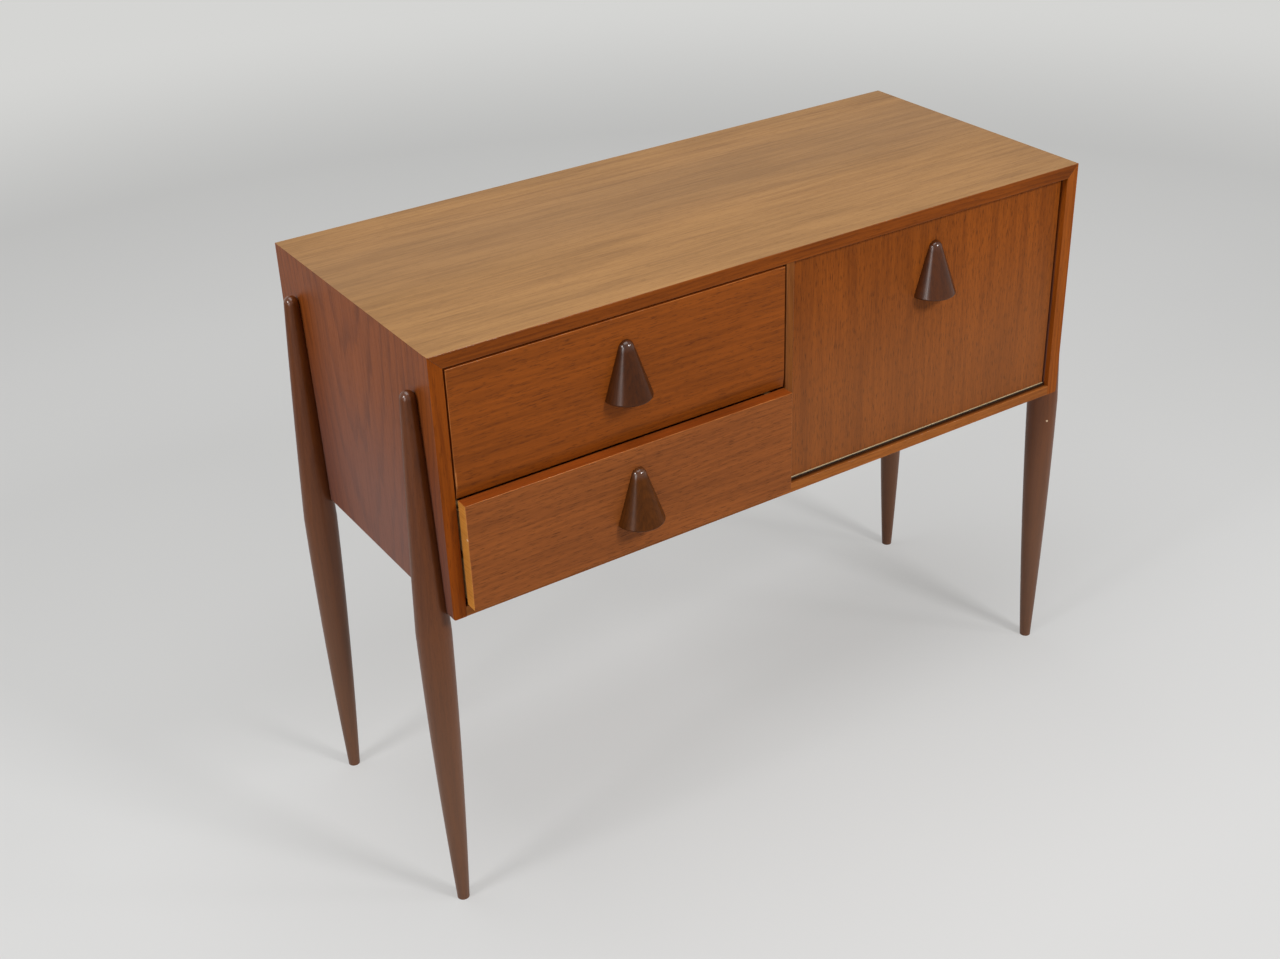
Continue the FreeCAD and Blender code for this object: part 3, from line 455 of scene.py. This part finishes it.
def finish_nodes(finish, *names):
    """Give CAD pieces that stay as they are their finish."""
    for name in names:
        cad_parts[name].material_slots[0].material = finish


dull_steel = metal("dull_steel", look(178, 176, 172), look(120, 112, 104), 0.3)
old_brass = metal("old_brass", look(206, 172, 104), look(150, 116, 62), 0.25)
finish_nodes(
    dull_steel, "back_screws", "leg_screws", "runner_screws", "catch_screws", "keeper_screws",
    "upper_handle_screws", "lower_handle_screws", "flap_handle_screws",
)
finish_nodes(
    old_brass, "hinge_carcass_screws", "hinge_flap_screws", "guide_post_screws", "stay_bracket_screws"
)


# Corner tongues and dowels
# Loose ply tongues glued into the mitres, and beech dowels between the bottom and the sides. They are
# inside the joints, and only show where the chest is taken apart.

beech = dict(
    early=look(206, 166, 116), late=look(182, 138, 92), pores=look(140, 100, 64), worn_and_lit=look(216, 180, 134),
    heart=(0.25, 0.03), ring_width=0.007, rings=0.3, streaks=0.3, pore_strength=0.35, gloss=0.52,
)
beech_dowel = wood("beech_dowel", "XYZ", (0.5, 0.1, 0.3), **beech)
raw_ply = wood(
    "raw_ply", "YXZ", (0.9, 0.4, 0.2),
    early=look(196, 156, 108), late=look(166, 124, 80), pores=look(128, 92, 60), worn_and_lit=look(206, 170, 124),
    heart=(0.06, 0.02), ring_width=0.02, rings=0.4, streaks=0.3, pore_strength=0.3, gloss=0.6,
)
finish_nodes(raw_ply, "left_corner_tongue", "right_corner_tongue")
finish_nodes(beech_dowel, "bottom_dowels")


# Legs
# Four turned spindles in dark stained hardwood, thin at the foot, full under the carcass and domed at the
# tip. Each is notched to sit flat on the side and under its edge, and is screwed from inside. They are
# painted greyer towards the floor, a painted reflection of the pale floor.

def lacquer(finish, piece, worn, dome):
    """Lacquer that is worn all over a turned piece, but kept its full gloss on the piece's domed tip."""
    tree = finish.node_tree
    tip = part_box(piece)[1].z
    kept = ease(tree, place_on(tree)["Z"], tip - dome, tip - 0.4 * dome)
    weight = maths(tree, "MULTIPLY_ADD", kept, 1 - worn, worn)
    tree.links.new(weight, tree.nodes["Principled BSDF"].inputs["Coat Weight"])


carcass_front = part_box("top_lipping")[0].y
bare_wood = look(226, 196, 160)
leg_chip = (0.5036, carcass_front + 0.0144, 0.3982)
leg_lacquer_left = 0.3
leg_dome = 0.01
# The grey band towards the floor is a painted reflection of the pale floor.
leg_stain = wood(
    "leg_stain", "ZXY", (0.3, 0.6, 0.8),
    early=look(104, 54, 20), late=look(84, 42, 15), pores=look(62, 31, 12), worn_and_lit=look(122, 80, 48),
    heart=(0.09, 0.01), ring_width=0.006, rings=0.25, streaks=0.35, pore_strength=0.3, gloss=0.4,
    relief=0.1, shine=0.06, coat_gloss=0.18,
    knock_and_glint=(leg_chip, (0.0028, 0.0028, 0.0028), bare_wood),
    painted_light_and_tone_band=("Z", 0, 0.62, look(140, 116, 98), 0.28),
)
lacquer(leg_stain, "front_left_leg", leg_lacquer_left, leg_dome)
finish_nodes(leg_stain, "front_left_leg", "front_right_leg", "rear_left_leg", "rear_right_leg")


# Drawer runners
# Beech strips screwed to the left side and the divider. Each drawer hangs on a pair of them, in grooves
# ploughed in its walls.

beech_runner = wood("beech_runner", "YZX", (0.2, 0.4, 0.7), **beech)
runner_arris = 0.0005
for level in ("upper", "lower"):
    for hand in ("left", "right"):
        eased(f"{level}_{hand}_runner", "carcass", beech_runner, runner_arris)


# Drawer boxes
# Walls and back of pale beech, rubbed with wax and not stained, and a tray of ply in a groove. The walls
# are housed in the back of the front.

beech_wall = wood("beech_wall", "YZX", (1.1, 0.5, 0.2), **beech)
beech_back = wood("beech_back", "XZY", (0.3, 1.1, 0.4), **beech)
lining_arris = 0.0007
tray_arris = 0.0003
for level in ("upper", "lower"):
    drawer = level + "_drawer"
    eased(level + "_left_wall", drawer, beech_wall, lining_arris, "y-")
    eased(level + "_right_wall", drawer, beech_wall, lining_arris, "y-")
    eased(level + "_back_wall", drawer, beech_back, lining_arris, "x- x+ z-")
    eased(level + "_tray", drawer, raw_ply, tray_arris)


# Drawer fronts
# Boards faced with teak that runs across, the upper one bevelled back along its lower edge as a grip.
# The lower one's ends have lost their edging and show the pale core. The rounded arrises are painted
# lighter, partly for wear and partly as a painted highlight.

front_arris = 0.0017
# The fronts' arrises are much lighter than their faces: partly wear and partly a painted highlight.
teak_front_look = dict(
    pores=look(74, 36, 13), worn_and_lit=look(198, 120, 54), ring_width=0.009, rings=0.2, streaks=0.35, wear_and_highlight=0.75,
    pore_strength=0.6,
)
front_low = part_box("upper_front")[0]
bevel_line = front_low.z + 0.015
lit_bevel_corner = (front_low.x, front_low.y, front_low.z + 0.026)
core_chip = (-0.4794, carcass_front - 0.016, 0.5703)
core_end = wood(
    "core_end", "YZX", (0.3, 0.8, 0.1),
    early=look(206, 138, 59), late=look(178, 111, 46), pores=look(144, 90, 38), worn_and_lit=look(208, 148, 74),
    heart=(0.3, 0), ring_width=0.004, rings=0.3, streaks=0.3, pore_strength=0.3, gloss=0.5,
    knock_and_glint=(core_chip, (0.003, 0.003, 0.003), bare_wood),
)
# The fronts' top faces are painted a little darker and redder than their faces, as painted shade from the
# part above them; their arrises are lighter, partly wear and partly a painted highlight.
front_top_shaded = wood(
    "front_top_shaded", "XYZ", (0.4, 0.2, 0.6),
    early=look(140, 66, 18), late=look(114, 52, 14), pores=look(84, 38, 12), worn_and_lit=look(196, 116, 50),
    heart=(0.2, 0.02), ring_width=0.006, rings=0.3, streaks=0.4, pore_strength=0.4, wear_and_highlight=0.75,
)
front_cuts = {
    "upper": dict(
        start=(0.2, 0.4, 0.3), heart=(0.3, 0.1), early=look(142, 72, 17), late=look(108, 53, 12),
        # A dark line along the top of the upper front's bevel is painted shade in the crease.
        painted_light_and_tone_band=("Z", bevel_line, 0.004, look(74, 36, 13), 0.25), shine=0.09,
        # A lighter patch at the lower left corner is a painted highlight on the end of the bevel.
        knock_and_glint=(lit_bevel_corner, (0.0035, 0.004, 0.024), look(176, 108, 54)),
    ),
    "lower": dict(
        start=(0.9, 0.7, 0.3), heart=(0.4, -0.08), early=look(147, 81, 33), late=look(110, 58, 23),
    ),
}
for level, cut in front_cuts.items():
    teak_front = wood(f"teak_{level}_front", "XZY", **cut, **teak_front_look)
    # The upper front's bevelled edge and the end beside the divider were left crisp.
    sharp_edges = "z- x+" if level == "upper" else ""
    board = eased(level + "_front", level + "_drawer", teak_front, front_arris, sharp_edges)
    face_finish(board, front_top_shaded, "z+")
    if level == "lower":
        face_finish(board, core_end, "x-")
        face_finish(board, core_end, "x+")


# Handles
# Half cones turned in dark stained hardwood and split down the middle, with a domed tip, each screwed flat
# against its front from behind. Use has dulled the lacquer, most of all on the drawers, but not the tips.

handle_look = dict(
    pores=look(38, 17, 5), worn_and_lit=look(80, 44, 20), heart=(0.05, 0.02), ring_width=0.005, rings=0.2,
    streaks=0.5, pore_strength=0.2, gloss=0.4, relief=0.05, shine=0.04, coat_gloss=0.16,
)
handle_stains = {
    "upper": ("upper_drawer", look(71, 34, 8), look(49, 22, 6), 0.26),
    "lower": ("lower_drawer", look(86, 45, 12), look(60, 31, 8), 0.1),
    "flap": ("flap", look(78, 37, 8), look(54, 24, 6), 0.56),
}
handle_rim = 0.0028
handle_dome = 0.014
for part, (body, early, late, lacquer_left) in handle_stains.items():
    stain = wood(f"{part}_handle_stain", "ZXY", (0.6, 0.2, 0.5), early, late, **handle_look)
    lacquer(stain, part + "_handle", lacquer_left, handle_dome)
    eased(part + "_handle", body, stain, handle_rim, "y+", shortest=0.0004, crease=50)


# Flap
# A single board faced with upright teak, set back from the front edges. It drops forward on a piano hinge
# along its lower edge, and it is painted paler and greyer towards there, a painted reflection of the floor.

flap_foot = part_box("flap_panel")[0].z
# The paler, greyer band towards the hinge is a painted reflection of the pale floor.
teak_flap = wood(
    "teak_flap", "ZXY", (0.5, 0.3, 0.7),
    early=look(142, 73, 19), late=look(108, 52, 13), pores=look(76, 38, 13), worn_and_lit=look(164, 95, 43),
    heart=(0.6, 0.03), ring_width=0.011, rings=0.2, streaks=0.4, pore_strength=0.85, shine=0.06,
    painted_light_and_tone_band=("Z", flap_foot, 0.31, look(150, 108, 76), 0.22),
)
eased("flap_panel", "flap", teak_flap, front_arris, "z-")


# Piano hinge
# Two long brass leaves with interlocking knuckles on one pin, screwed to the flap's lower edge and to the
# bottom. Only the row of knuckles shows when the flap is shut. The brass is painted dark brown all over as
# painted shade, except a thin pale band along the top of the knuckles, which is a painted highlight.

hinge_brass = metal("hinge_brass", look(214, 194, 154), look(190, 166, 122), 0.3)
hinge_tree = hinge_brass.node_tree
knuckle_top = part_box("hinge_carcass_leaf")[1].z
hinge_height = place_on(hinge_tree)["Z"]
# Only a thin band just below the knuckles' top keeps the pale brass colour, a painted highlight; the rest is
# painted shade.
highlight_band_from = ease(hinge_tree, hinge_height, knuckle_top - 0.0005, knuckle_top - 0.0003)
highlight_band_to = ease(hinge_tree, hinge_height, knuckle_top, knuckle_top + 0.0001)
painted_highlight_band = maths(hinge_tree, "SUBTRACT", highlight_band_from, highlight_band_to)
bare_brass = hinge_tree.nodes["Group"].outputs["Colour"]
hinge_painted_shade = look(46, 30, 15)
hinge_colour = blend_colours(hinge_tree, painted_highlight_band, hinge_painted_shade, bare_brass)
hinge_shader = hinge_tree.nodes["Principled BSDF"]
hinge_metal_left = 0.4
hinge_shader.inputs["Metallic"].default_value = hinge_metal_left
hinge_tree.links.new(hinge_colour, hinge_shader.inputs["Base Color"])
finish_nodes(hinge_brass, "hinge_carcass_leaf", "hinge_flap_leaf", "hinge_pin")


# Catch
# A small magnet in a brown moulded casing, screwed under the top. It holds the flap shut by the steel
# keeper on the flap's inside.

casing, casing_tree, casing_shader = new_finish("catch_casing")
casing_spot = add(casing_tree, "TexCoord").outputs["Object"]
casing_grain = stretched_noise(casing_tree, casing_spot, (700, 700, 700), 2)
casing_colour = blend_colours(casing_tree, casing_grain, look(84, 58, 42), look(104, 74, 54))
casing_bump = add(casing_tree, "Bump", {"Strength": 0.2, "Distance": 0.0002, "Height": casing_grain})
casing_tree.links.new(casing_colour, casing_shader.inputs["Base Color"])
casing_tree.links.new(ease(casing_tree, casing_grain, -0.6, 1.4), casing_shader.inputs["Roughness"])
casing_tree.links.new(casing_bump.outputs[0], casing_shader.inputs["Normal"])
casing_arris = 0.0008
eased("catch_body", "carcass", casing, casing_arris)
finish_nodes(dull_steel, "catch_keeper")


# Stay
# A brass rod hung on a stud on the flap. It slides through a guide that swivels on a post on the right
# side, and its knob stops the flap when it lies level.

finish_nodes(old_brass, "stay_bracket", "stay_rod", "stay_knob", "stay_guide", "guide_post")


# Studio floor
# A wide sheet of pale grey paper that the chest stands on. It takes the soft shadows and fades into the
# backdrop further out.

def seen_directly(tree):
    """1 for rays from the camera, and for those that gloss or glass sends on, and 0 for other light."""
    rays = add(tree, "LightPath").outputs
    mirrored = maths(tree, "MAXIMUM", rays["Is Camera Ray"], rays["Is Glossy Ray"])
    return maths(tree, "MAXIMUM", mirrored, rays["Is Transmission Ray"])


far_colour = look(213, 213, 211)
paper_half = 20
fade_start, fade_end = 1.2, 4.2
shadow_lift = 0.5
floor_mesh = bpy.data.meshes.new("studio_floor")
floor_shape = bmesh.new()
bmesh.ops.create_grid(floor_shape, x_segments=8, y_segments=8, size=paper_half)
floor_shape.to_mesh(floor_mesh)
floor_shape.free()
paper, paper_tree, paper_shader = new_finish("studio_paper")
paper_shader.inputs["Roughness"].default_value = 0.85
paper_shader.inputs["Specular IOR Level"].default_value = 0.2
paper_spot = add(paper_tree, "TexCoord").outputs["Object"]
paper_mottle = stretched_noise(paper_tree, paper_spot, (1.1, 1.1, 1.1), 2)
paper_shade = blend_colours(paper_tree, paper_mottle, look(216, 216, 217), look(222, 222, 222))
paper_tree.links.new(paper_shade, paper_shader.inputs["Base Color"])
distance = add(paper_tree, "VectorMath", {0: paper_spot}, operation="LENGTH").outputs["Value"]
near_share = maths(paper_tree, "MULTIPLY", seen_directly(paper_tree), shadow_lift)
far_share = maths(paper_tree, "MAXIMUM", near_share, ease(paper_tree, distance, fade_start, fade_end))
far_glow = add(paper_tree, "Emission", {"Color": far_colour, "Strength": 1})
paper_mix = add(paper_tree, "MixShader", {0: far_share})
paper_tree.links.new(paper_shader.outputs[0], paper_mix.inputs[1])
paper_tree.links.new(far_glow.outputs[0], paper_mix.inputs[2])
paper_tree.links.new(paper_mix.outputs[0], paper_tree.nodes["Material Output"].inputs["Surface"])
floor_mesh.materials.append(paper)
floor = bpy.data.objects.new("studio_floor", floor_mesh)
bpy.context.scene.collection.objects.link(floor)


# Studio light
# A wide softbox overhead, a strong one in front, weaker ones on the left and the right, and three tall
# panels on the left, one on another, that only show in the gloss of the lacquer. The room is pale.

room = bpy.data.worlds.new("pale_room")
bpy.context.scene.world = room
room.use_nodes = True
room_tree = room.node_tree
room_light = 0.3
room_glow = room_tree.nodes["Background"]
room_glow.inputs["Color"].default_value = far_colour
room_strength = maths(room_tree, "MULTIPLY_ADD", seen_directly(room_tree), 1 - room_light, room_light)
room_tree.links.new(room_strength, room_glow.inputs["Strength"])


def softbox(name, place, aim, width, height, watts):
    """A soft lamp whose flat face is turned towards a point."""
    lamp = bpy.data.lights.new(name, "AREA")
    lamp.shape = "RECTANGLE"
    lamp.size, lamp.size_y = width, height
    lamp.energy = watts
    holder = bpy.data.objects.new(name, lamp)
    holder.location = place
    holder.rotation_euler = (Vector(aim) - Vector(place)).to_track_quat("-Z", "Y").to_euler()
    bpy.context.scene.collection.objects.link(holder)
    return holder


chest_middle = (0, 0, 0.55)
softbox("overhead_softbox", (-0.3, 0, 3.2), chest_middle, width=2.4, height=2, watts=46)
softbox("left_softbox", (-3, -0.4, 2.2), chest_middle, width=0.8, height=0.8, watts=38)
softbox("front_softbox", (0.95, -2.7, 2.7), chest_middle, width=0.7, height=0.7, watts=58)
softbox("right_softbox", (2.2, -2.1, 2.5), chest_middle, width=0.4, height=0.4, watts=10)
panel_place = (-3.1, -1.5, 0.95)
panel_widths = (0.4, 0.9, 1.5)
for panel, width in enumerate(panel_widths):
    reflector = softbox(f"gloss_panel_{panel}", panel_place, chest_middle, width, height=1.8, watts=16)
    reflector.visible_diffuse = False


# Camera
# Stood to the left of the chest and well above it, looking down on its top and front, with the camera
# turned a little on its own axis.

carcass_middle = Vector((0, (carcass_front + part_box("top_panel")[1].y) / 2, 0))
camera_place = carcass_middle + Vector((-1.2131, -1.7609, 1.6229))
camera_aim = carcass_middle + Vector((-0.1931, -0.1541, 0.5194))
camera_roll = math.radians(-2.11)
camera_data = bpy.data.cameras.new("camera")
camera_data.sensor_width = 36
camera_data.lens = 48.1
camera = bpy.data.objects.new("camera", camera_data)
camera.location = camera_place
camera.rotation_mode = "QUATERNION"
level_view = (camera_aim - camera_place).to_track_quat("-Z", "Y")
camera.rotation_quaternion = level_view @ Quaternion((0, 0, 1), camera_roll)
bpy.context.scene.collection.objects.link(camera)
bpy.context.scene.camera = camera
bpy.context.scene.view_settings.view_transform = "Standard"
